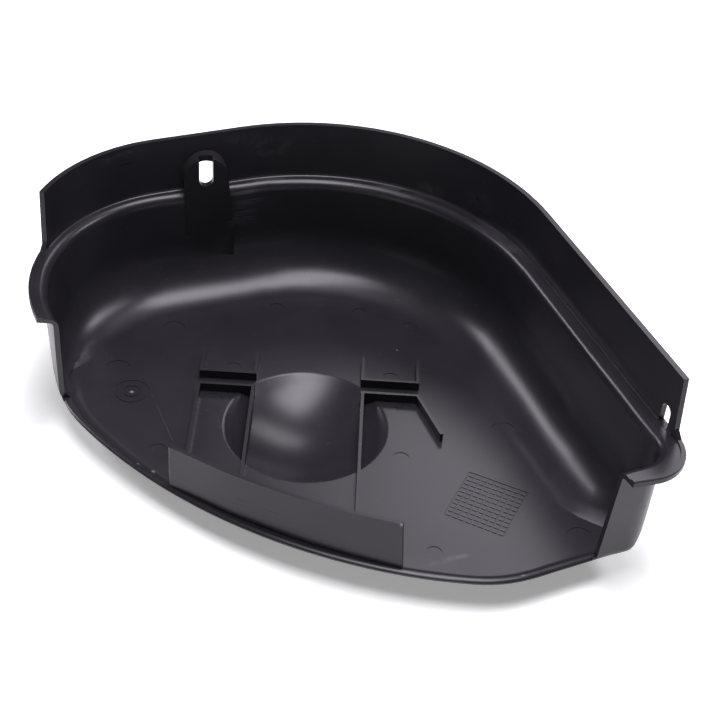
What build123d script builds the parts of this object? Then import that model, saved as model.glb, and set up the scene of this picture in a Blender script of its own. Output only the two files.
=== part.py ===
from build123d import *
import math
import os

os.makedirs("parts", exist_ok=True)

# ---------------------------------------------------------------- dimensions
# frame: z = 0 is the inside face of the floor, +Z is the open side,
# x = 0 / y = 0 is the centre of the round well, +X runs along the cross ribs,
# +Y points to the tall back wall.  All lengths in mm.
T_WALL = 2.2           # floor and lower wall
T_LEDGE = 2.4          # ledge / flange
T_UPPER = 2.6          # upper wall
Z_LEDGE = 54.0         # top face of the ledge
Z_TOP = 83.6           # top edge of the upper wall
R_ROLL = 4.0           # convex roll from lower wall to ledge
R_UNDER = 1.5          # concave fillet under the ledge
DRAFT_LOW = 2.0        # degrees
DRAFT_UP = 1.5         # degrees
BEAD_H = 0.8           # low rim bead on the flange edge
LIP_Z = 3.0            # top of the upturned front lip
R_FRONT = 5.2          # inside foot radius along the open front
R_FRONT_OUT = 6.2      # and the outside one

WELL_R = 38.5          # round well, radius at the floor
WELL_D = 11.5          # depth below the floor
WELL_EDGE = 2.2        # rounding of the well rim

RIB_T = 1.5
RIB_H = 4.7
RIB_X_IN = 26.4        # long ribs at +-26.4, outer ones at +-52.6
RIB_X_OUT = 52.6
RIB_Y_BACK = 30.8      # cross ribs
RIB_Y_FRONT = 21.1
RIB_Y_FAR = 47.6       # open ends of the two back pockets
DIAG_END = (64.0, -5.6)

PANEL_H0 = 25.5        # thin front panel: height at its left end (x = -58)
PANEL_H1 = 28.0        # and at its right end (x = 45)
PANEL_T = 1.9

BOSS_C = (-58.0, 108.7)    # arch boss with the left screw slot
BOSS_A = 15.0              # its front face turns this much from the X axis
BOSS_R = 11.2
BOSS_ZC = 63.6
BOSS_Z0 = 29.0             # the hollow behind it starts above this height
BOSS_LOW = 12.0            # its front runs down into the foot of the wall
BOSS_FLARE = 2.6           # widening of the right side towards the foot
BOSS_T = 3.4
SLOT_W = 7.0
SLOT_Z0 = 59.0

HOLE_S = 64.6              # right slot: distance along the right wall line
HOLE_W = 6.6
HOLE_Z0, HOLE_Z1 = 54.06, 64.8

# outline of the lower wall (inside, projected to z = 0): start point, heading
# and (length, radius) pieces, clockwise; radius 0 = straight
W_START = (-120.3, 23.66)
W_HEAD = 1.78
W_PIECES = [(93.58, 67.05), (44.77, 0), (73.69, 104.75), (89.24, 105.68), (127.81, 0),
            (14.0, 9.16), (45.69, 0), (24.48, 54.26), (36.82, 208.8), (172.55, 255.76), (34.94, 68.68)]
# inside foot of the upper wall at the ledge
C_START = (-121.16, 2.73)
C_HEAD = 2.05
C_PIECES = [(124.99, 75.22), (45.03, 0), (79.45, 113.48), (95.47, 112.87), (131.07, 0),
            (28.9, 17.13), (9.51, 0)]
C_WALL_S0 = 52.5       # the upper wall runs between these lengths on that line
C_WALL_S1 = 474.8
C_WALL_TOP0 = 55.8     # and its top edge starts / ends a little earlier
C_WALL_TOP1 = 472.1

# foot radius of the lower wall at positions along W (length fraction)
FOOT_IN = [(0.0, 12), (0.03, 19), (0.08, 25), (0.50, 25), (0.535, 24), (0.575, 11)]

# front cut: left face at y = CUT_L - slope*(z-3), right face on a line
CUT_L_Y, CUT_L_SLOPE = 6.3, 0.126
CUT_R_P, CUT_R_D = (130.4, -77.2), (0.5, -0.866)

# ---------------------------------------------------------------- 2D helpers


def trace(start, heading, pieces, step=1.5, extend=0.0):
    x, y = start
    h = heading
    pts, nrm, s_acc = [(x, y)], [(-math.sin(h), math.cos(h))], [0.0]
    n_p = len(pieces)
    for ip, (length, rad) in enumerate(pieces):
        if extend and ip == n_p - 1:
            length += extend
        k = -1.0 / rad if rad else 0.0
        n = max(2, int(math.ceil(length / step)))
        ds = length / n
        for _ in range(n):
            if k == 0.0:
                x += ds * math.cos(h)
                y += ds * math.sin(h)
            else:
                h2 = h + k * ds
                x += (math.sin(h2) - math.sin(h)) / k
                y += (math.cos(h) - math.cos(h2)) / k
                h = h2
            pts.append((x, y))
            nrm.append((-math.sin(h), math.cos(h)))
            s_acc.append(s_acc[-1] + ds)
    return pts, nrm, s_acc


def lerp_table(table, u):
    if u <= table[0][0]:
        return table[0][1]
    for (a, va), (b, vb) in zip(table, table[1:]):
        if u <= b:
            f = (u - a) / (b - a)
            f = f * f * (3 - 2 * f)
            return va + (vb - va) * f
    return table[-1][1]


def inset(radius, z_above):
    """how far a foot fillet of this radius stands inside the wall at a height"""
    if z_above >= radius:
        return 0.0
    return radius - math.sqrt(max(0.0, radius * radius - (radius - z_above) ** 2))


CENTRE = (8.0, 12.0)
N_ANG = 240
KNOTS = [k for k in range(N_ANG) if k % 4 == 0 or (212 <= k <= 234 and k % 2 == 0)]
CORNER = (200, 236)    # ray numbers where the big right foot meets the front foot


def ray_hits(poly, closed):
    """radius of the outermost crossing for N_ANG rays from CENTRE"""
    out = [None] * N_ANG
    m = len(poly)
    last = m if closed else m - 1
    for i in range(last):
        ax, ay = poly[i][0] - CENTRE[0], poly[i][1] - CENTRE[1]
        bx, by = poly[(i + 1) % m][0] - CENTRE[0], poly[(i + 1) % m][1] - CENTRE[1]
        ta, tb = math.atan2(ay, ax), math.atan2(by, bx)
        d = tb - ta
        while d > math.pi:
            d -= 2 * math.pi
        while d < -math.pi:
            d += 2 * math.pi
        lo, hi = (ta, ta + d) if d > 0 else (ta + d, ta)
        k0 = math.ceil(lo / (2 * math.pi) * N_ANG)
        k1 = math.floor(hi / (2 * math.pi) * N_ANG)
        for k in range(k0, k1 + 1):
            t = 2 * math.pi * k / N_ANG
            cx, cy = math.cos(t), math.sin(t)
            den = (bx - ax) * cy - (by - ay) * cx
            if abs(den) < 1e-12:
                continue
            r = (bx * ay - by * ax) / den
            r = abs(r)
            kk = k % N_ANG
            if out[kk] is None or r < out[kk]:
                out[kk] = r
    return out


W_PTS, W_NRM, W_S = trace(W_START, W_HEAD, W_PIECES)
W_LEN = W_S[-1]
# the same line with the right wall carried straight on, for the large foot
A_PTS, A_NRM, A_S = trace(W_START, W_HEAD, W_PIECES[:5], extend=70.0)


def foot_table(table, s):
    return lerp_table(table, s / W_LEN)


# at the front left the inside foot grows and the lip cuts it off at the lip height
TAIL_R = [(0.862, R_FRONT), (0.905, 8.2), (0.935, 8.8), (0.966, 8.4), (1.0, FOOT_IN[0][1])]
TAIL_D = [(0.862, 0.0), (0.905, 1.7), (0.935, 1.7), (0.972, 0.0)]


def tail_radius(s, base, end):
    """outside foot on the last piece (front-left): grows from the front radius"""
    u = s / W_LEN
    if u < 0.955:
        return base
    return base + (end - base) * ((u - 0.955) / 0.045) ** 1.5


def contour(z, out):
    """closed contour (N_ANG radii) of the tub at height z"""
    zb = z + T_WALL if out else z
    thick = T_WALL if out else 0.0
    drift = math.tan(math.radians(DRAFT_LOW)) * z
    poly_b = []
    for (x, y), (nx, ny), s in zip(W_PTS, W_NRM, W_S):
        if out:
            off = thick + drift - inset(tail_radius(s, R_FRONT_OUT, FOOT_IN[0][1] + thick), zb)
        else:
            off = drift + foot_table(TAIL_D, s) - inset(foot_table(TAIL_R, s), zb)
        poly_b.append((x + nx * off, y + ny * off))
    poly_a = []
    for (x, y), (nx, ny), s in zip(A_PTS, A_NRM, A_S):
        r = foot_table(FOOT_IN, min(s, W_LEN * 0.62)) + thick
        off = thick + drift - inset(r, zb)
        poly_a.append((x + nx * off, y + ny * off))
    rb = ray_hits(poly_b[:-1], True)
    ra = ray_hits(poly_a, False)
    soft = max(0.01, 7.0 * (1 - z / 40.0))
    r = []
    for k, (a, b) in enumerate(zip(ra, rb)):
        if b is None:
            b = a
        if a is None:
            r.append(b)
            continue
        m = min(a, b)
        if CORNER[0] <= k <= CORNER[1]:
            h = max(soft - abs(a - b), 0.0) / soft
            m -= h * h * h * soft / 6.0
        r.append(m)
    return r


BREAKS = [4, 36, 72, 92, 120, 148, 180, 212, 236]   # ray numbers where one ring edge ends and the next starts


def ring(radii, z, grow=0.0):
    base = [(CENTRE[0] + r * math.cos(2 * math.pi * k / N_ANG), CENTRE[1] + r * math.sin(2 * math.pi * k / N_ANG))
            for k, r in enumerate(radii)]

    def side(k):
        x0, y0 = base[k - 1]
        x1, y1 = base[(k + 1) % N_ANG]
        l = math.hypot(x1 - x0, y1 - y0)
        return (x1 - x0) / l, (y1 - y0) / l

    def point(k):
        k = k % N_ANG
        tx, ty = side(k)
        return Vector(base[k][0] + grow * ty, base[k][1] - grow * tx, z)

    edges = []
    for i, k0 in enumerate(BREAKS):
        k1 = BREAKS[i + 1] if i + 1 < len(BREAKS) else BREAKS[0] + N_ANG
        ks = [k for k in range(k0, k1 + 1) if k in (k0, k1) or (k % N_ANG) in KNOTS]
        t0, t1 = side(k0 % N_ANG), side(k1 % N_ANG)
        edges.append(Edge.make_spline([point(k) for k in ks], tangents=[Vector(*t0, 0), Vector(*t1, 0)]))
    return Wire(edges)


def tub_loft(out):
    wires = []
    zs = [0, .14, .5, 1.1, 2.0, 3.2, 4.8, 6.6, 8.8, 11.3, 14.2, 17.5, 21.2, 25.2, 27.4, 36.0]
    if out:
        z_end = Z_LEDGE - T_LEDGE
        for z in zs + [z_end + T_WALL - R_UNDER - 0.8]:
            wires.append(ring(contour(z - T_WALL, True), z - T_WALL))
        for f in (25, 50, 70):
            a = math.radians(f)
            z = z_end - R_UNDER + R_UNDER * math.sin(a)
            wires.append(ring(contour(z, True), z, R_UNDER * (1 - math.cos(a))))
        z = z_end + 0.6
        wires.append(ring(contour(z, True), z, R_UNDER + 0.6))
    else:
        z_end = Z_LEDGE
        for z in zs + [z_end - R_ROLL - 1.0]:
            wires.append(ring(contour(z, False), z))
        for f in (20, 40, 60, 76):
            a = math.radians(f)
            z = z_end - R_ROLL + R_ROLL * math.sin(a)
            wires.append(ring(contour(z, False), z, R_ROLL * (1 - math.cos(a))))
        dz = 0.5
        g = R_ROLL * (1 - math.cos(a)) + math.tan(a) * dz
        wires.append(ring(contour(z + dz, False), z + dz, g))
    return Solid.make_loft(wires, ruled=True)


def c_at(s, off=0.0):
    i = 0
    if s <= 0:
        x, y = C_PTS[0]
        nx, ny = C_NRM[0]
        return (x + nx * off + s * ny, y + ny * off - s * nx)
    while i < len(C_S) - 2 and C_S[i + 1] < s:
        i += 1
    f = (s - C_S[i]) / (C_S[i + 1] - C_S[i])
    x = C_PTS[i][0] + (C_PTS[i + 1][0] - C_PTS[i][0]) * f
    y = C_PTS[i][1] + (C_PTS[i + 1][1] - C_PTS[i][1]) * f
    nx = C_NRM[i][0] + (C_NRM[i + 1][0] - C_NRM[i][0]) * f
    ny = C_NRM[i][1] + (C_NRM[i + 1][1] - C_NRM[i][1]) * f
    return (x + nx * off, y + ny * off)


C_PTS, C_NRM, C_S = trace(C_START, C_HEAD, C_PIECES, step=1.0, extend=12.0)
C_LEN = C_S[-1]


def exact_chain(off, s0, s1):
    """the C line offset by `off`, cut to [s0, s1], as (start, middle, end) of each arc or line"""
    pieces = [(12.0, 0)] + list(C_PIECES)
    pieces[-1] = (pieces[-1][0] + 12.0, 0)
    x = C_START[0] - 12.0 * math.cos(C_HEAD)
    y = C_START[1] - 12.0 * math.sin(C_HEAD)
    h = C_HEAD
    s = -12.0
    out = []

    def at(x, y, h, k, ds):
        if k == 0.0:
            px, py, ph = x + ds * math.cos(h), y + ds * math.sin(h), h
        else:
            ph = h + k * ds
            px = x + (math.sin(ph) - math.sin(h)) / k
            py = y + (math.cos(h) - math.cos(ph)) / k
        return (px - off * math.sin(ph), py + off * math.cos(ph))

    for length, rad in pieces:
        k = -1.0 / rad if rad else 0.0
        a, b = max(s0, s), min(s1, s + length)
        if b - a > 1e-6:
            out.append((at(x, y, h, k, a - s), at(x, y, h, k, (a + b) / 2 - s), at(x, y, h, k, b - s), k == 0.0))
        if k == 0.0:
            x, y = x + length * math.cos(h), y + length * math.sin(h)
        else:
            h2 = h + k * length
            x, y = x + (math.sin(h2) - math.sin(h)) / k, y + (math.cos(h) - math.cos(h2)) / k
            h = h2
        s += length
    return out


def chain_edges(off, s0, s1, z, back=False):
    edges = []
    for p, m, q, straight in exact_chain(off, s0, s1):
        a, c, b = Vector(*p, z), Vector(*m, z), Vector(*q, z)
        if back:
            a, b = b, a
        edges.append(Edge.make_line(a, b) if straight else Edge.make_three_point_arc(a, c, b))
    return edges[::-1] if back else edges


def band_wire(s0, s1, off_in, off_out, z):
    """closed wire round a strip that follows the C line"""
    fwd = chain_edges(off_in, s0, s1, z)
    bwd = chain_edges(off_out, s0, s1, z, back=True)
    return Wire(fwd + [Edge.make_line(fwd[-1] @ 1, bwd[0] @ 0)] + bwd + [Edge.make_line(bwd[-1] @ 1, fwd[0] @ 0)])


def c_sheet(off, z):
    """flat face inside the offset C line, closed straight across the front"""
    edges = chain_edges(off, -10.0, C_LEN - 0.5, z)
    return Face(Wire(edges + [Edge.make_line(edges[-1] @ 1, edges[0] @ 0)]))


def parts_of(shape):
    """plain list of the solids in a boolean result"""
    if isinstance(shape, (list, tuple)):
        out = []
        for item in shape:
            out += list(item.solids())
        return out
    return list(shape.solids())


def main_part(shape, what):
    """the largest solid of a boolean result; the others are offcuts"""
    found = sorted(parts_of(shape), key=lambda q: q.volume)
    print(what, [round(q.volume, 1) for q in found], flush=True)
    return found[-1]


# ---------------------------------------------------------------- the tub
cavity = tub_loft(False)
shell_out = tub_loft(True)

# ledge slab: everything inside the flange edge, opened by the cavity
slab = Solid.extrude(c_sheet(T_UPPER, Z_LEDGE - T_LEDGE), Vector(0, 0, T_LEDGE))
body = main_part(shell_out.fuse(slab), "slab")
body = main_part(body.cut(cavity), "cavity")

# the upper wall stands on the same line, leaning out a little
up = math.tan(math.radians(DRAFT_UP)) * (Z_TOP - Z_LEDGE)
wall = Solid.make_loft([
    band_wire(C_WALL_S0, C_WALL_S1, 0.0, T_UPPER, Z_LEDGE),
    band_wire(C_WALL_S0, C_WALL_S1, up, T_UPPER + up - 0.1, Z_TOP)], ruled=True)
body = main_part(body.fuse(wall), "upper wall")


# both ends of the upper wall lean back
def end_cutter(s_foot, s_top, way):
    def quad(s, z):
        (px, py), (qx, qy) = c_at(s, -6), c_at(s, 9)
        (rx, ry), (tx, ty) = c_at(s + way * 14, -6), c_at(s + way * 14, 9)
        pts = [Vector(px, py, z), Vector(qx, qy, z), Vector(tx, ty, z), Vector(rx, ry, z)]
        return Wire.make_polygon(pts if way > 0 else pts[::-1], close=True)
    slope = (s_top - s_foot) / (Z_TOP - Z_LEDGE)
    return Solid.make_loft([quad(s_foot, Z_LEDGE), quad(s_top + slope * 2, Z_TOP + 2)], ruled=True)


body = main_part(body.cut(end_cutter(C_WALL_S0, C_WALL_TOP0, -1)), "left end")
body = main_part(body.cut(end_cutter(C_WALL_S1, C_WALL_TOP1, 1)), "right end")


# low bead past the wall ends, with a short ramp up to each end
def bead(s0, s1):
    return Solid.make_loft([band_wire(s0, s1, 0.2, T_UPPER - 0.2, Z_LEDGE - 0.5),
                            band_wire(s0, s1, 0.35, T_UPPER - 0.35, Z_LEDGE + BEAD_H)], ruled=True)


def ramp(s_a, s_b):
    def quad(s, h):
        p, q = c_at(s, 0.25), c_at(s, T_UPPER - 0.25)
        z0 = Z_LEDGE - 0.6
        return Wire.make_polygon([Vector(*p, z0), Vector(*q, z0), Vector(*q, Z_LEDGE + h), Vector(*p, Z_LEDGE + h)],
                                 close=True)
    return Solid.make_loft([quad(s_a, 4.6), quad(s_b, 0.4)], ruled=True)


body = main_part(body.fuse(bead(-9, C_WALL_S0 + 2.5), bead(C_WALL_S1 - 1.5, C_LEN - 2)), "beads")
body = main_part(body.fuse(ramp(C_WALL_S0 + 1.6, C_WALL_S0 - 3.4), ramp(C_WALL_S1 - 1.0, C_WALL_S1 + 3.4)), "ramps")

# small concave foot between ledge and upper wall
CREASE = [(-1.2, -0.3), (-1.05, 0.0), (-0.62, 0.13), (-0.28, 0.38), (-0.08, 0.8), (0.02, 1.4)]
crease_rings = []
for off, dz in CREASE:
    crease_rings.append(band_wire(C_WALL_S0 + 1.5, C_WALL_S1 - 1.5, off, 0.9, Z_LEDGE + dz))
crease = Solid.make_loft(crease_rings, ruled=True)
body = main_part(body.fuse(crease), "crease")

# ---------------------------------------------------------------- open front
def cut_ring(z):
    yl = CUT_L_Y - CUT_L_SLOPE * (z - 3.0)
    shift = 0.06 * (z - 3.0)
    px, py = CUT_R_P[0] + shift * 0.866, CUT_R_P[1] + shift * 0.5
    dx, dy = CUT_R_D
    p1 = (px - dx * 26, py - dy * 26)
    p2 = (px + dx * 90, py + dy * 90)
    return Wire.make_polygon([Vector(-210, yl, z), Vector(-60, yl, z), Vector(*p1, z), Vector(*p2, z),
                              Vector(p2[0], -230, z), Vector(-210, -230, z)], close=True)

front_cut = Solid.make_loft([cut_ring(LIP_Z), cut_ring(Z_TOP + 20)], ruled=True)
body = main_part(body.cut(front_cut), "front cut")

# ---------------------------------------------------------------- round well
SPH_R = (WELL_R ** 2 + WELL_D ** 2) / (2 * WELL_D)
RIM_A = math.asin(WELL_R / SPH_R)


def revolved(points_arcs):
    """spin a closed (r, z) section about the well axis"""
    edges = []
    for item in points_arcs:
        if len(item) == 2:
            edges.append(Edge.make_line(Vector(item[0][0], 0, item[0][1]), Vector(item[1][0], 0, item[1][1])))
        else:
            edges.append(Edge.make_three_point_arc(*[Vector(p[0], 0, p[1]) for p in item]))
    return Solid.revolve(Face(Wire(edges)), 360, Axis.Z)


def cap(radius, a):
    return (radius * math.sin(a), SPH_R - WELL_D - radius * math.cos(a))


def well_section(grow, z_top, rim_r):
    """cap of the well grown by `grow`, with an arc rim that ends level with z_top"""
    rad = SPH_R + grow
    # arc of radius rim_r tangent to the cap and to the level z_top
    d = z_top - (SPH_R - WELL_D) - rim_r          # rim arc centre height over the sphere centre
    a = math.acos(-d / (rad + rim_r))
    cx = (rad + rim_r) * math.sin(a)
    cz = z_top - rim_r
    p0 = cap(rad, 0.0)
    pm = cap(rad, a / 2)
    p1 = cap(rad, a)
    q = (cx, z_top)
    # middle of the rim arc
    a0 = math.atan2(p1[1] - cz, p1[0] - cx)
    a1 = math.pi / 2
    if a0 < -math.pi / 2:
        a0 += 2 * math.pi
    am = (a0 + a1) / 2
    qm = (cx + rim_r * math.cos(am), cz + rim_r * math.sin(am))
    return p0, pm, p1, qm, q


o0, om, o1, oqm, oq = well_section(T_WALL, -T_WALL, 1.2)
outer_well = revolved([(o0, om, o1), (o1, oqm, oq), (oq, (oq[0], -0.4)), ((oq[0], -0.4), (0, -0.4)), ((0, -0.4), o0)])
i0, im, i1, iqm, iq = well_section(0.0, 0.0, 3.0)
inner_well = revolved([(i0, im, i1), (i1, iqm, iq), (iq, (iq[0], 1.0)), ((iq[0], 1.0), (0, 1.0)), ((0, 1.0), i0)])
under_well = revolved([(cap(SPH_R + 1.0, 0), cap(SPH_R + 1.0, RIM_A / 2), cap(SPH_R + 1.0, RIM_A)),
                       (cap(SPH_R + 1.0, RIM_A), (cap(SPH_R + 1.0, RIM_A)[0], 0.5)),
                       ((cap(SPH_R + 1.0, RIM_A)[0], 0.5), (0, 0.5)), ((0, 0.5), cap(SPH_R + 1.0, 0))])
body = main_part(body.fuse(outer_well), "well outside")
body = main_part(body.cut(inner_well), "well inside")


# ---------------------------------------------------------------- floor ribs
def bar(x0, y0, x1, y1, z0=-0.6, h=RIB_H, t=RIB_T, dip=False):
    l = math.hypot(x1 - x0, y1 - y0)
    a = math.degrees(math.atan2(y1 - y0, x1 - x0))
    place = Location((x0, y0, 0), (0, 0, a))
    top = Solid.make_box(l, t, h - z0).moved(Location((0, -t / 2, z0))).moved(place)
    if not dip:
        return [top]
    low = Solid.make_box(l, t, 14 + z0 + 0.1).moved(Location((0, -t / 2, -14))).moved(place)
    low = low.intersect(under_well)
    return [top] + parts_of(low)


HT = RIB_T / 2
ribs = []
ribs += bar(-RIB_X_OUT - HT, RIB_Y_BACK, -RIB_X_IN + HT, RIB_Y_BACK)
ribs += bar(-RIB_X_OUT - HT, RIB_Y_FRONT, -RIB_X_IN + HT, RIB_Y_FRONT, dip=True)
ribs += bar(RIB_X_IN - HT - 0.6, RIB_Y_BACK, RIB_X_OUT + HT, RIB_Y_BACK)
ribs += bar(RIB_X_IN - HT - 0.6, RIB_Y_FRONT, RIB_X_OUT + HT, RIB_Y_FRONT, dip=True)
for x in (-RIB_X_OUT, -RIB_X_IN, RIB_X_IN - 0.6, RIB_X_OUT):
    ribs += bar(x, RIB_Y_BACK - HT, x, RIB_Y_FAR)
ribs += bar(-RIB_X_OUT, RIB_Y_FRONT + HT, -RIB_X_OUT, -49.5)
ribs += bar(-RIB_X_IN - 0.2, RIB_Y_FRONT + HT, -RIB_X_IN - 0.2, -64.6, dip=True)
ribs += bar(RIB_X_IN - 0.3, RIB_Y_FRONT + HT, RIB_X_IN - 0.3, -83.0, dip=True)
ribs += bar(RIB_X_OUT - 0.2, RIB_Y_FRONT + 0.2, DIAG_END[0], DIAG_END[1])

# ---------------------------------------------------------------- front panel
PANEL_FOOT = [(-58.9, -48.7), (-52.4, -52.0), (-44.9, -56.4), (-38.0, -60.4), (-29.6, -64.8), (-20.1, -69.1),
              (-11.1, -72.9), (2.1, -78.2), (10.9, -81.3), (24.1, -85.2), (30.8, -87.1), (37.1, -88.6), (46.4, -90.7)]


def resample(pts, n):
    acc = [0.0]
    for p, q in zip(pts, pts[1:]):
        acc.append(acc[-1] + math.hypot(q[0] - p[0], q[1] - p[1]))
    out = []
    for i in range(n + 1):
        s = acc[-1] * i / n
        j = 0
        while j < len(acc) - 2 and acc[j + 1] < s:
            j += 1
        f = (s - acc[j]) / (acc[j + 1] - acc[j])
        out.append((pts[j][0] + (pts[j + 1][0] - pts[j][0]) * f, pts[j][1] + (pts[j + 1][1] - pts[j][1]) * f))
    return out


foot = resample(PANEL_FOOT, 12)
foot = [foot[0]] + [((foot[i - 1][0] + 2 * foot[i][0] + foot[i + 1][0]) / 4,
                     (foot[i - 1][1] + 2 * foot[i][1] + foot[i + 1][1]) / 4) for i in range(1, 12)] + [foot[12]]


def foot_side(off, cut_end=0.0):
    """the foot line moved outwards by `off`; its right end pulled back by `cut_end`"""
    out = []
    for i, (x, y) in enumerate(foot):
        x0, y0 = foot[max(0, i - 1)]
        x1, y1 = foot[min(12, i + 1)]
        l = math.hypot(x1 - x0, y1 - y0)
        out.append((x + off * (y1 - y0) / l, y - off * (x1 - x0) / l))
    (xa, ya), (xb, yb) = out[-2], out[-1]
    l = math.hypot(xb - xa, yb - ya)
    out[-1] = (xb - cut_end * (xb - xa) / l, yb - cut_end * (yb - ya) / l)
    return out


def panel_ring(z, off_out, off_in, cut_end):
    """outline of the panel at one height; its left end is rounded off at the front"""
    fa, fb = foot_side(off_out, cut_end), foot_side(off_in, cut_end)
    (xa, ya), (xb, yb) = fa[0], fa[1]
    l = math.hypot(xb - xa, yb - ya)
    tx, ty = (xb - xa) / l, (yb - ya) / l
    fa[0] = (xa + 2.2 * tx, ya + 2.2 * ty)
    a = [Vector(x, y, z) for x, y in fa]
    b = [Vector(x, y, z) for x, y in reversed(fb)]
    mid = Vector(fb[0][0] * 0.22 + xa * 0.62 + fa[0][0] * 0.16, fb[0][1] * 0.22 + ya * 0.62 + fa[0][1] * 0.16, z)
    return Wire([Edge.make_spline(a), Edge.make_line(a[-1], b[0]), Edge.make_spline(b),
                 Edge.make_three_point_arc(b[-1], mid, a[0])])


PANEL_TOP = 30.0
panel = Solid.make_loft([panel_ring(-0.6, 0.12, -2.25, -0.2),
                         panel_ring(PANEL_TOP, -0.93, -0.93 - PANEL_T, 1.75)], ruled=True)
slope = (PANEL_H1 - PANEL_H0) / 103.0
above = Solid.make_box(140, 70, 20).moved(Location((-82, -110, PANEL_H0 - 24 * slope),
                                                   (0, -math.degrees(math.atan(slope)), 0)))
panel = main_part(panel.cut(above), "panel")


def w_side(off, rows):
    return [(W_PTS[i][0] + off * W_NRM[i][0], W_PTS[i][1] + off * W_NRM[i][1]) for i in rows]


# the strip between the panel foot and the front lip stands just under lip height
lip_rows = [i for i, ((x, y), (nx, ny)) in enumerate(zip(W_PTS, W_NRM)) if y < -40 and -59.0 < x < 46.5 and ny < 0]
strip = Solid.extrude(Face(Wire.make_polygon([Vector(x, y, -0.6) for x, y in foot_side(-1.0)] +
                                             [Vector(x, y, -0.6) for x, y in w_side(0.0, lip_rows)], close=True)),
                      Vector(0, 0, LIP_Z - 0.12 + 0.6))

# the outer top edge of the lip is rounded
front_rows = [i for i, ((x, y), (nx, ny)) in enumerate(zip(W_PTS, W_NRM)) if i > 250 and y < 4.6 and ny < 0.2
              and (x - CUT_R_P[0]) * 0.866 + (y - CUT_R_P[1]) * 0.5 < -1.2]
front_rows = front_rows[:1] + front_rows[3:-3:4] + front_rows[-1:]
LIP_ROUND = [(2.34, 1.15), (2.12, 1.75), (1.75, 2.25), (1.15, 2.66), (0.5, 2.9), (-0.35, 3.04)]


def lip_ring(off, z):
    a = [Vector(x, y, z) for x, y in w_side(off, front_rows)]
    b = [Vector(x, y, z) for x, y in reversed(w_side(5.0, front_rows))]
    return Wire([Edge.make_spline(a), Edge.make_line(a[-1], b[0]), Edge.make_spline(b), Edge.make_line(b[-1], a[0])])


lip_cutter = Solid.make_loft([lip_ring(o, z) for o, z in LIP_ROUND], ruled=True)
body = main_part(body.cut(lip_cutter), "lip edge")
body = main_part(body.fuse(*ribs, panel, strip), "ribs and panel")

# ---------------------------------------------------------------- left boss
def arch_solid(half, zc, z0, bottom_r, length, start):
    """rounded-top prism; its front face lies `start` behind the boss front plane"""
    p = [(-half, zc), (-half, z0 + bottom_r), (-half + bottom_r, z0), (half - bottom_r, z0), (half, z0 + bottom_r),
         (half, zc)]
    c = math.sqrt(0.5)
    v = [Vector(x, 0, z) for x, z in p]
    edges = [Edge.make_line(v[0], v[1]),
             Edge.make_three_point_arc(v[1], Vector(-half + bottom_r * (1 - c), 0, z0 + bottom_r * (1 - c)), v[2]),
             Edge.make_line(v[2], v[3]),
             Edge.make_three_point_arc(v[3], Vector(half - bottom_r * (1 - c), 0, z0 + bottom_r * (1 - c)), v[4]),
             Edge.make_line(v[4], v[5]),
             Edge.make_three_point_arc(v[5], Vector(0, 0, zc + half), v[0])]
    f = Face(Wire(edges))
    s = Solid.extrude(f, Vector(0, length, 0)).moved(Location((0, start, 0)))
    return s.moved(Location((BOSS_C[0], BOSS_C[1], 0), (0, 0, BOSS_A)))


def flare_solid(zt, z0, length, start):
    """the boss below its arch: left side upright, right side widening downwards"""
    zm = 34.0
    pts = [(-BOSS_R, zt), (-BOSS_R, z0), (BOSS_R + BOSS_FLARE, z0), (BOSS_R + BOSS_FLARE, zm), (BOSS_R, zt)]
    face = Face(Wire.make_polygon([Vector(x, 0, z) for x, z in pts], close=True))
    solid = Solid.extrude(face, Vector(0, length, 0)).moved(Location((0, start, 0)))
    if solid.bounding_box().max.Y < start + length - 0.1:
        solid = Solid.extrude(face, Vector(0, length, 0)).moved(Location((0, start, 0)))
    return solid.moved(Location((BOSS_C[0], BOSS_C[1], 0), (0, 0, BOSS_A)))


envelope = Solid.extrude(c_sheet(T_UPPER - 0.15, BOSS_Z0), Vector(0, 0, 60))
boss = arch_solid(BOSS_R, BOSS_ZC, BOSS_Z0 - 2, 1.0, 40, 0).intersect(envelope)
boss_side = flare_solid(BOSS_ZC - 1.0, BOSS_Z0 - 2, 40, 0).intersect(envelope)
boss_low = flare_solid(BOSS_Z0 + 3, BOSS_LOW, 26, 0).intersect(shell_out)
clear_front = arch_solid(BOSS_R, BOSS_ZC, BOSS_Z0, 1.0, 14, -14)
hollow = arch_solid(BOSS_R - BOSS_T, BOSS_ZC, BOSS_Z0 + BOSS_T, 2.0, 50, BOSS_T)
body = main_part(body.cut(clear_front), "clear front")
body = main_part(body.fuse(*parts_of(boss), *parts_of(boss_side), *parts_of(boss_low)), "boss")
body = main_part(body.cut(hollow), "hollow")
slot_l = arch_solid(SLOT_W / 2, 95, SLOT_Z0, SLOT_W / 2 - 0.01, BOSS_T + 4.6, -4)
body = main_part(body.cut(slot_l), "left slot")

# ---------------------------------------------------------------- right slot
def nearest_s(x, y):
    best = min(range(len(C_PTS)), key=lambda i: (C_PTS[i][0] - x) ** 2 + (C_PTS[i][1] - y) ** 2)
    return C_S[best]


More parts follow.
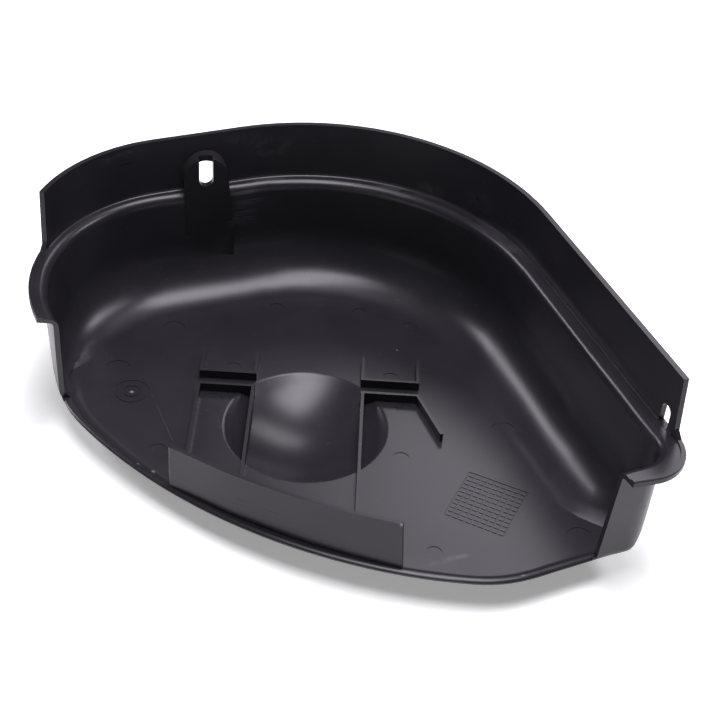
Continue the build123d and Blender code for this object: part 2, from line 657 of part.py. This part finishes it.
s_hole = nearest_s(154.3, -45.5)
hx, hy = c_at(s_hole, 0)
t0, t1 = c_at(s_hole - 1, 0), c_at(s_hole + 1, 0)
h_ang = math.degrees(math.atan2(t1[1] - t0[1], t1[0] - t0[0]))
hw = HOLE_W / 2
z_c = HOLE_Z1 - hw
hv = [Vector(-hw, 0, HOLE_Z0), Vector(hw, 0, HOLE_Z0), Vector(hw, 0, z_c), Vector(-hw, 0, z_c)]
hole = Solid.extrude(Face(Wire([Edge.make_line(hv[0], hv[1]), Edge.make_line(hv[1], hv[2]),
                                Edge.make_three_point_arc(hv[2], Vector(0, 0, HOLE_Z1), hv[3]),
                                Edge.make_line(hv[3], hv[0])])), Vector(0, 24, 0)).moved(Location((0, -7, 0)))
hole = hole.moved(Location((hx, hy, 0), (0, 0, h_ang)))
body = main_part(body.cut(hole), "right slot")

# ---------------------------------------------------------------- shallow marks
PINS = [(-93.6, 33.0, 12.5), (-66.7, -23.3, 8.6), (-70.5, 67.3, 11.0), (-20.3, 89.0, 8.0), (22.6, 89.1, 7.7),
        (48.3, 79.1, 8.7), (39.5, 38.4, 7.9), (-37.9, 38.7, 8.3), (-45.6, 13.9, 10.4), (46.9, 14.5, 9.6),
        (45.3, -18.7, 7.9), (93.5, 4.7, 11.5), (124.7, -62.8, 12.0), (60.4, -77.2, 7.0)]
GATE = (-84.5, 16.5)
MARK = 0.25
under = cavity.moved(Location((0, 0, -MARK)))
cutters = []
for x, y, d in PINS:
    cutters.append(Solid.make_cylinder(d / 2, 30).moved(Location((x, y, -2))))
gate_ring = Solid.make_cylinder(8.5, 12).cut(Solid.make_cylinder(7.6, 12))
gate_inner = Solid.make_cylinder(4.3, 12).cut(Solid.make_cylinder(3.5, 12))
gate_dot = Solid.make_cylinder(1.3, 12)
for g in (gate_ring, gate_inner, gate_dot):
    cutters.append((g if isinstance(g, Solid) else g.solids()[0]).moved(Location((GATE[0], GATE[1], -2))))

# plain line block on the floor, five lines one way and seven the other
G = [(77.1, -25.6), (103.2, -37.0), (91.0, -65.4), (65.1, -53.7)]


def lerp2(p, q, f):
    return (p[0] + (q[0] - p[0]) * f, p[1] + (q[1] - p[1]) * f)


GRID_W = 0.7
for i in range(10):
    f = i / 9
    p, q = lerp2(G[0], G[1], f), lerp2(G[3], G[2], f)
    cutters += bar(p[0], p[1], q[0], q[1], z0=-2, h=20, t=GRID_W)
for i in range(12):
    f = i / 11
    p, q = lerp2(G[0], G[3], f), lerp2(G[1], G[2], f)
    cutters += bar(p[0], p[1], q[0], q[1], z0=-2, h=20, t=GRID_W)
marks = cutters[0].fuse(*cutters[1:])
marks = under.intersect(marks)
body = body.cut(*parts_of(marks))
solids = parts_of(main_part(body, "marks"))
print("solids", len(solids), [round(s.volume, 1) for s in solids])
solid = sorted(solids, key=lambda q: q.volume)[-1]
print("valid", solid.is_valid, "bbox", solid.bounding_box())
# row frame: origin at the centre of the bounding box in plan, at the lowest point
bb = solid.bounding_box()
shift = (-(bb.min.X + bb.max.X) / 2, -(bb.min.Y + bb.max.Y) / 2, -bb.min.Z)
print("shift", [round(v, 4) for v in shift])
solid = solid.moved(Location(shift))
solid.label = "belt_cover"
export_step(solid, "parts/belt_cover.step")
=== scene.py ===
import bpy
import math
from mathutils import Matrix, Vector

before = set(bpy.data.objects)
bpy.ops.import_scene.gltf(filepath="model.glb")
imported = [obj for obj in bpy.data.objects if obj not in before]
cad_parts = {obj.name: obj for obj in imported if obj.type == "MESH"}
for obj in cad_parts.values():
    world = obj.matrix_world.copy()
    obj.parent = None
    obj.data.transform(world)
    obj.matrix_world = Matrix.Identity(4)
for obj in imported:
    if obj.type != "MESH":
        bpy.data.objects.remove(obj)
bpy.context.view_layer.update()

MM = 0.001
# where the well centre / floor inside face sit in the row frame (mm)
ORIGIN = (-14.8734, -19.8966, 13.7)

scene = bpy.context.scene

# ------------------------------------------------------------------ camera
F_PX = 1553.27
CAM_MM = (17.691, -546.575, 488.784)
YAW, PITCH, ROLL = 0.010705, 0.685641, 0.0680795


def make_camera():
    d = Vector((math.sin(YAW) * math.cos(PITCH), math.cos(YAW) * math.cos(PITCH), -math.sin(PITCH)))
    r = Vector((math.cos(YAW), -math.sin(YAW), 0.0))
    u = r.cross(d)
    right = math.cos(ROLL) * r + math.sin(ROLL) * u
    up = -math.sin(ROLL) * r + math.cos(ROLL) * u
    data = bpy.data.cameras.new("camera")
    data.sensor_fit = "HORIZONTAL"
    data.sensor_width = 36.0
    data.sensor_height = 36.0
    data.lens = F_PX / 720.0 * 36.0
    data.clip_start = 0.01
    data.clip_end = 20.0
    cam = bpy.data.objects.new("camera", data)
    scene.collection.objects.link(cam)
    m = Matrix.Identity(4)
    for i in range(3):
        m[i][0] = right[i]
        m[i][1] = up[i]
        m[i][2] = -d[i]
        m[i][3] = (CAM_MM[i] + ORIGIN[i]) * MM
    cam.matrix_world = m
    scene.camera = cam


make_camera()


# ------------------------------------------------------------------ stage
def plain_material(name, color, rough, glow=0.0):
    m = bpy.data.materials.new(name)
    m.use_nodes = True
    b = m.node_tree.nodes["Principled BSDF"]
    b.inputs["Base Color"].default_value = (*color, 1)
    b.inputs["Roughness"].default_value = rough
    b.inputs["Emission Color"].default_value = (1, 1, 1, 1)
    b.inputs["Emission Strength"].default_value = glow
    return m


def make_floor():
    me = bpy.data.meshes.new("floor")
    s = 4.0
    me.from_pydata([(-s, -s, 0), (s, -s, 0), (s, s, 0), (-s, s, 0)], [], [(0, 1, 2, 3)])
    o = bpy.data.objects.new("floor", me)
    o.location = (0, 0, -0.0002)
    scene.collection.objects.link(o)
    o.data.materials.append(plain_material("floor_pale", (0.93, 0.93, 0.94), 0.9, 0.3))


make_floor()

world = bpy.data.worlds.new("world")
scene.world = world
world.use_nodes = True
world.node_tree.nodes["Background"].inputs["Color"].default_value = (1, 1, 1, 1)
world.node_tree.nodes["Background"].inputs["Strength"].default_value = 0.06


def area(name, loc, target, size, power, color=(1, 1, 1)):
    data = bpy.data.lights.new(name, "AREA")
    data.shape = "RECTANGLE"
    data.size, data.size_y = size
    data.energy = power
    data.color = color
    o = bpy.data.objects.new(name, data)
    o.location = loc
    d = Vector(target) - Vector(loc)
    o.rotation_euler = d.to_track_quat("-Z", "Y").to_euler()
    scene.collection.objects.link(o)
    return o


# a wide overhead softbox, a lower one at each side and a soft one behind
area("top", (0.05, -0.03, 1.15), (0.0, 0.0, 0.0), (0.8, 0.46), 16, (0.97, 0.96, 1.0))
area("left", (-1.15, 0.55, 0.85), (0.0, 0.0, 0.03), (0.28, 0.34), 6, (0.98, 0.95, 1.0))
area("right", (1.05, 0.30, 1.05), (0.0, 0.0, 0.03), (0.32, 0.34), 6, (0.98, 0.96, 1.0))
area("back_right", (0.45, 1.42, 1.45), (0.08, -0.05, 0.0), (0.95, 0.5), 9.5, (0.99, 0.96, 1.0))
scene.view_settings.view_transform = "Standard"


# ------------------------------------------------------------------ smooth shading
def smooth_group(angle_deg):
    """merge the split face borders, then keep only real edges sharp"""
    ng = bpy.data.node_groups.new("smooth_borders", "GeometryNodeTree")
    ng.interface.new_socket("Geometry", in_out="INPUT", socket_type="NodeSocketGeometry")
    ng.interface.new_socket("Geometry", in_out="OUTPUT", socket_type="NodeSocketGeometry")
    n_in = ng.nodes.new("NodeGroupInput")
    n_out = ng.nodes.new("NodeGroupOutput")
    merge = ng.nodes.new("GeometryNodeMergeByDistance")
    merge.inputs["Distance"].default_value = 0.00001
    angle = ng.nodes.new("GeometryNodeInputMeshEdgeAngle")
    comp = ng.nodes.new("FunctionNodeCompare")
    comp.data_type = "FLOAT"
    comp.operation = "LESS_THAN"
    comp.inputs[1].default_value = math.radians(angle_deg)
    sf = ng.nodes.new("GeometryNodeSetShadeSmooth")
    sf.domain = "FACE"
    sf.inputs["Shade Smooth"].default_value = True
    se = ng.nodes.new("GeometryNodeSetShadeSmooth")
    se.domain = "EDGE"
    ng.links.new(n_in.outputs[0], merge.inputs["Geometry"])
    ng.links.new(merge.outputs["Geometry"], sf.inputs["Geometry"])
    ng.links.new(sf.outputs["Geometry"], se.inputs["Geometry"])
    ng.links.new(angle.outputs["Unsigned Angle"], comp.inputs[0])
    ng.links.new(comp.outputs["Result"], se.inputs["Shade Smooth"])
    ng.links.new(se.outputs["Geometry"], n_out.inputs[0])
    return ng


def smooth(obj, angle_deg=24):
    mod = obj.modifiers.new("smooth_borders", "NODES")
    mod.node_group = smooth_group(angle_deg)
    wn = obj.modifiers.new("weighted", "WEIGHTED_NORMAL")
    wn.keep_sharp = True
    wn.mode = "FACE_AREA"
    wn.weight = 50


# ------------------------------------------------------------------ plastic
class Nodes:
    """small helper to write node sums in one line each"""

    def __init__(self, nt):
        self.nt = nt

    def _in(self, node, idx, v):
        if isinstance(v, (int, float)):
            node.inputs[idx].default_value = v
        elif isinstance(v, tuple):
            node.inputs[idx].default_value = v
        else:
            self.nt.links.new(v, node.inputs[idx])

    def math(self, op, a, b=0.0, c=None, clamp=False):
        n = self.nt.nodes.new("ShaderNodeMath")
        n.operation = op
        n.use_clamp = clamp
        self._in(n, 0, a)
        self._in(n, 1, b)
        if c is not None:
            self._in(n, 2, c)
        return n.outputs[0]

    def vmath(self, op, a, b=(0.0, 0.0, 0.0)):
        n = self.nt.nodes.new("ShaderNodeVectorMath")
        n.operation = op
        self._in(n, 0, a)
        self._in(n, 1, b)
        return n

    def noise(self, vec, scale, detail=2.0, rough=0.5, distortion=0.0):
        n = self.nt.nodes.new("ShaderNodeTexNoise")
        self.nt.links.new(vec, n.inputs["Vector"])
        n.inputs["Scale"].default_value = scale
        n.inputs["Detail"].default_value = detail
        n.inputs["Roughness"].default_value = rough
        n.inputs["Distortion"].default_value = distortion
        return n.outputs["Fac"]

    def ramp(self, v, lo, hi, smooth=True):
        n = self.nt.nodes.new("ShaderNodeMapRange")
        n.interpolation_type = "SMOOTHSTEP" if smooth else "LINEAR"
        self._in(n, 0, v)
        n.inputs[1].default_value = lo
        n.inputs[2].default_value = hi
        n.inputs[3].default_value = 0.0
        n.inputs[4].default_value = 1.0
        return n.outputs[0]

    def mix(self, fac, a, b):
        n = self.nt.nodes.new("ShaderNodeMix")
        n.data_type = "RGBA"
        self._in(n, 0, fac)
        self._in(n, 6, a)
        self._in(n, 7, b)
        return n.outputs[2]

    def scaled(self, vec, k, rot=0.0):
        n = self.nt.nodes.new("ShaderNodeMapping")
        self.nt.links.new(vec, n.inputs["Vector"])
        n.inputs["Rotation"].default_value = (0.0, 0.0, rot)
        n.inputs["Scale"].default_value = k
        return n.outputs[0]

    def blob(self, pos, centre, size):
        """soft spot: 1 at the centre, 0 past the half sizes (mm, in the well frame)"""
        c = tuple((centre[i] + ORIGIN[i]) * MM for i in range(3))
        k = tuple(1.0 / (v * MM) for v in size)
        d = self.vmath("SUBTRACT", pos, c).outputs[0]
        d = self.vmath("MULTIPLY", d, k).outputs[0]
        l = self.vmath("LENGTH", d).outputs["Value"]
        n = self.nt.nodes.new("ShaderNodeMapRange")
        n.interpolation_type = "SMOOTHSTEP"
        self._in(n, 0, l)
        n.inputs[1].default_value = 0.25
        n.inputs[2].default_value = 1.0
        n.inputs[3].default_value = 1.0
        n.inputs[4].default_value = 0.0
        return n.outputs[0]

    def blob_turned(self, pos, centre, size, turn):
        """the same soft spot, with its axes turned about Z"""
        c = tuple((centre[i] + ORIGIN[i]) * MM for i in range(3))
        d = self.vmath("SUBTRACT", pos, c).outputs[0]
        r = self.nt.nodes.new("ShaderNodeVectorRotate")
        r.rotation_type = "Z_AXIS"
        self.nt.links.new(d, r.inputs["Vector"])
        r.inputs["Angle"].default_value = -turn
        d = self.vmath("MULTIPLY", r.outputs[0], tuple(1.0 / (v * MM) for v in size)).outputs[0]
        return self.ramp(self.math("SUBTRACT", 1.0, self.vmath("LENGTH", d).outputs["Value"]), 0.0, 0.75)

    def segment(self, pos, p, q, half):
        """thin line between two points (mm, in the well frame)"""
        a = Vector([(p[i] + ORIGIN[i]) * MM for i in range(3)])
        b = Vector([(q[i] + ORIGIN[i]) * MM for i in range(3)])
        ab = b - a
        ap = self.vmath("SUBTRACT", pos, tuple(a)).outputs[0]
        t = self.vmath("DOT_PRODUCT", ap, tuple(ab / ab.length_squared)).outputs["Value"]
        t = self.math("MAXIMUM", self.math("MINIMUM", t, 1.0), 0.0)
        n = self.nt.nodes.new("ShaderNodeVectorMath")
        n.operation = "SCALE"
        n.inputs[0].default_value = tuple(ab)
        self.nt.links.new(t, n.inputs["Scale"])
        d = self.vmath("SUBTRACT", ap, n.outputs[0]).outputs[0]
        l = self.vmath("LENGTH", d).outputs["Value"]
        m = self.nt.nodes.new("ShaderNodeMapRange")
        m.interpolation_type = "SMOOTHSTEP"
        self._in(m, 0, l)
        m.inputs[1].default_value = 0.0
        m.inputs[2].default_value = half * MM
        m.inputs[3].default_value = 1.0
        m.inputs[4].default_value = 0.0
        return m.outputs[0]


# pale rubbed patches: centre, half sizes, strength
SMUDGES = [
    ((-27.8, 128.7, 72.0), (24, 12, 9), 0.55),
    ((-40.0, 125.0, 78.0), (14, 10, 5), 0.5),
    ((-98.7, 97.9, 80.0), (16, 16, 5), 0.7),
    ((54.3, 119.8, 59.0), (12, 10, 4), 0.6),
    ((78.7, 102.4, 65.0), (18, 14, 7), 0.25),
    ((113.8, 46.0, 71.5), (12, 20, 7), 0.3),
    ((-113.1, 57.5, 24.0), (14, 18, 14), 0.3),
]
# flow streaks beside the boss and along the ledge
STREAKS = [
    ((-36.0, 116.0, 50.0), (14, 12, 11), 1.0),
    ((-40.0, 114.0, 37.0), (11, 12, 9), 0.9),
    ((-20.0, 121.0, 54.0), (34, 12, 5), 0.8),
    ((30.0, 123.0, 54.0), (40, 16, 5), 0.6),
    ((95.0, 88.0, 54.0), (34, 40, 5), 0.35),
    ((136.5, -84.0, 34.0), (5, 8, 14), 0.6),
]
# small nicks: centre, radius, strength
NICKS = [
    ((-66.8, -38.3, 0.4), 1.5, 0.45), ((-74.1, -34.7, 1.0), 1.2, 0.4), ((-84.5, 16.5, 0.0), 1.5, 0.6), ((38.3, -89.9, 16.5), 1.5, 1.0),
    ((36.4, -89.4, 17.8), 1.1, 0.5), ((44.5, -90.0, 27.6), 1.4, 0.9), ((-13.4, -74.5, 9.5), 0.7, 0.6),
    ((-7.0, -76.6, 5.5), 0.8, 0.4), ((42.4, 60.6, 0.0), 0.8, 0.5), ((-11.1, 123.3, 29.0), 0.8, 0.5),
    ((33.0, 116.0, 18.0), 0.9, 0.4), ((-84.0, 88.0, 12.0), 0.9, 0.5), ((-13.0, -26.0, -6.5), 0.9, 0.6),
    ((-69.4, 110.6, 71.5), 0.9, 0.5), ((87.0, -90.5, 2.6), 1.6, 0.5), ((98.0, -90.0, 2.6), 1.4, 0.6),
]
# soft pale smears on the floor: centre, half sizes, turn about Z, strength
SMEARS = [
    ((66.0, -81.5, 0.0), (8.0, 2.2, 3.0), 0.50, 0.5),
    ((72.0, -79.0, 0.0), (6.0, 2.0, 3.0), 0.35, 0.6),
    ((60.0, -84.0, 0.0), (4.5, 1.8, 3.0), 0.60, 0.35),
]
# pale hairline scratches: start, end, half width (mm), strength; the vertical line beside the boss (x
# -44.6 to -43.5) is instead a painted highlight along the boss's right edge
HAIRLINES_AND_EDGE_HIGHLIGHT = [
    ((-111.0, 58.0, 3.0), (-94.5, 47.7, 0.0), 0.35, 0.35),
    ((-74.6, 15.6, 0.0), (-60.6, -16.4, 0.0), 0.35, 0.3),
    ((-117.5, 61.0, 51.0), (-113.0, 57.0, 20.0), 0.45, 0.4),
    ((-45.7, 113.6, 52.0), (-30.9, 118.9, 51.5), 0.6, 1.0),
    ((-45.1, 113.4, 45.5), (-29.8, 119.8, 45.5), 0.6, 1.0),
    ((-43.7, 114.4, 34.5), (-29.7, 119.8, 32.5), 0.6, 1.0),
    ((-41.7, 115.5, 39.5), (-26.7, 120.4, 41.0), 0.45, 0.7),
    # painted highlight: a pale line down the boss's right edge, where light catches the edge
    ((-44.6, 113.0, 50.0), (-43.5, 114.3, 34.5), 0.5, 0.8),
]


def cover_plastic():
    m = bpy.data.materials.new("cover_plastic_look")
    m.use_nodes = True
    nt = m.node_tree
    b = nt.nodes["Principled BSDF"]
    g = Nodes(nt)
    tc = nt.nodes.new("ShaderNodeTexCoord")
    pos = tc.outputs["Object"]

    cloud = g.noise(pos, 22.0, 4.0, 0.6)
    grain = g.noise(pos, 1500.0, 2.0, 0.6)
    orange = g.noise(pos, 260.0, 3.0, 0.55)
    # fine vertical drag lines left by the mould, and rubbed streaks that run along the wall
    along = g.noise(g.scaled(pos, (14.0, 14.0, 900.0)), 1.0, 3.0, 0.6)
    rub = g.noise(g.scaled(pos, (26.0, 26.0, 420.0)), 1.0, 4.0, 0.7, 0.4)
    speck = g.ramp(g.noise(pos, 420.0, 1.0, 0.4), 0.735, 0.79)

    smudge = None
    for c, size, k in SMUDGES:
        v = g.math("MULTIPLY", g.blob(pos, c, size), k)
        smudge = v if smudge is None else g.math("MAXIMUM", smudge, v)
    smudge = g.math("MULTIPLY", smudge, g.ramp(g.noise(pos, 120.0, 5.0, 0.75, 0.6), 0.42, 0.72))

    streak = None
    for c, size, k in STREAKS:
        v = g.math("MULTIPLY", g.blob(pos, c, size), k)
        streak = v if streak is None else g.math("MAXIMUM", streak, v)
    streak = g.math("MULTIPLY", streak, g.ramp(rub, 0.46, 0.62))

    nick = None
    for c, r, k in NICKS:
        v = g.math("MULTIPLY", g.blob(pos, c, (r, r, r)), k)
        nick = v if nick is None else g.math("MAXIMUM", nick, v)
    nick = g.math("MULTIPLY", nick, g.ramp(g.noise(pos, 500.0, 2.0, 0.6), 0.3, 0.6))

    smear = None
    for c, size, turn, k in SMEARS:
        v = g.math("MULTIPLY", g.blob_turned(pos, c, size, turn), k)
        smear = v if smear is None else g.math("MAXIMUM", smear, v)
    smear = g.math("MULTIPLY", smear, g.ramp(g.noise(pos, 300.0, 3.0, 0.7), 0.25, 0.65))

    # mask of the hairline scratches and of the painted highlight line on the boss's right edge
    line = None
    for p, q, h, k in HAIRLINES_AND_EDGE_HIGHLIGHT:
        v = g.math("MULTIPLY", g.segment(pos, p, q, h), k)
        line = v if line is None else g.math("MAXIMUM", line, v)
    line = g.math("MULTIPLY", line, g.ramp(g.noise(pos, 160.0, 2.0, 0.6), 0.35, 0.6))

    base = g.mix(g.ramp(cloud, 0.3, 0.7), (0.0140, 0.0131, 0.0165, 1), (0.0185, 0.0174, 0.0215, 1))
    base = g.mix(g.math("MULTIPLY", smudge, 0.55), base, (0.085, 0.083, 0.09, 1))
    base = g.mix(g.math("MULTIPLY", streak, 0.5), base, (0.085, 0.083, 0.095, 1))
    base = g.mix(g.math("MULTIPLY", speck, 0.25), base, (0.06, 0.06, 0.065, 1))
    base = g.mix(nick, base, (0.30, 0.30, 0.31, 1))
    base = g.mix(g.math("MULTIPLY", smear, 0.5), base, (0.12, 0.12, 0.125, 1))
    # pale hairlines, including the painted highlight line down the boss's right edge
    base = g.mix(g.math("MULTIPLY", line, 0.5), base, (0.16, 0.155, 0.175, 1))
    nt.links.new(base, b.inputs["Base Color"])

    rough = g.math("ADD", 0.235, g.math("MULTIPLY", cloud, 0.06))
    rough = g.math("ADD", rough, g.math("MULTIPLY", along, 0.05))
    rough = g.math("ADD", rough, g.math("MULTIPLY", smudge, 0.2))
    rough = g.math("ADD", rough, g.math("MULTIPLY", streak, 0.12), clamp=True)
    nt.links.new(rough, b.inputs["Roughness"])
    b.inputs["IOR"].default_value = 1.5
    b.inputs["Specular IOR Level"].default_value = 0.32
    b.inputs["Specular Tint"].default_value = (0.97, 0.92, 1.0, 1)

    h = g.math("ADD", g.math("MULTIPLY", grain, 0.25), g.math("MULTIPLY", orange, 0.5))
    h = g.math("ADD", h, g.math("MULTIPLY", along, 0.35))
    h = g.math("SUBTRACT", h, g.math("MULTIPLY", line, 1.6))
    h = g.math("SUBTRACT", h, g.math("MULTIPLY", nick, 1.2))
    bump = nt.nodes.new("ShaderNodeBump")
    bump.inputs["Strength"].default_value = 0.16
    bump.inputs["Distance"].default_value = 0.00012
    nt.links.new(h, bump.inputs["Height"])
    nt.links.new(bump.outputs["Normal"], b.inputs["Normal"])
    return m


look = cover_plastic()
for name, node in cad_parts.items():
    obj = node if hasattr(node, "data") else bpy.data.objects[name]
    for i in range(len(obj.material_slots)):
        obj.material_slots[i].material = look
    smooth(obj)
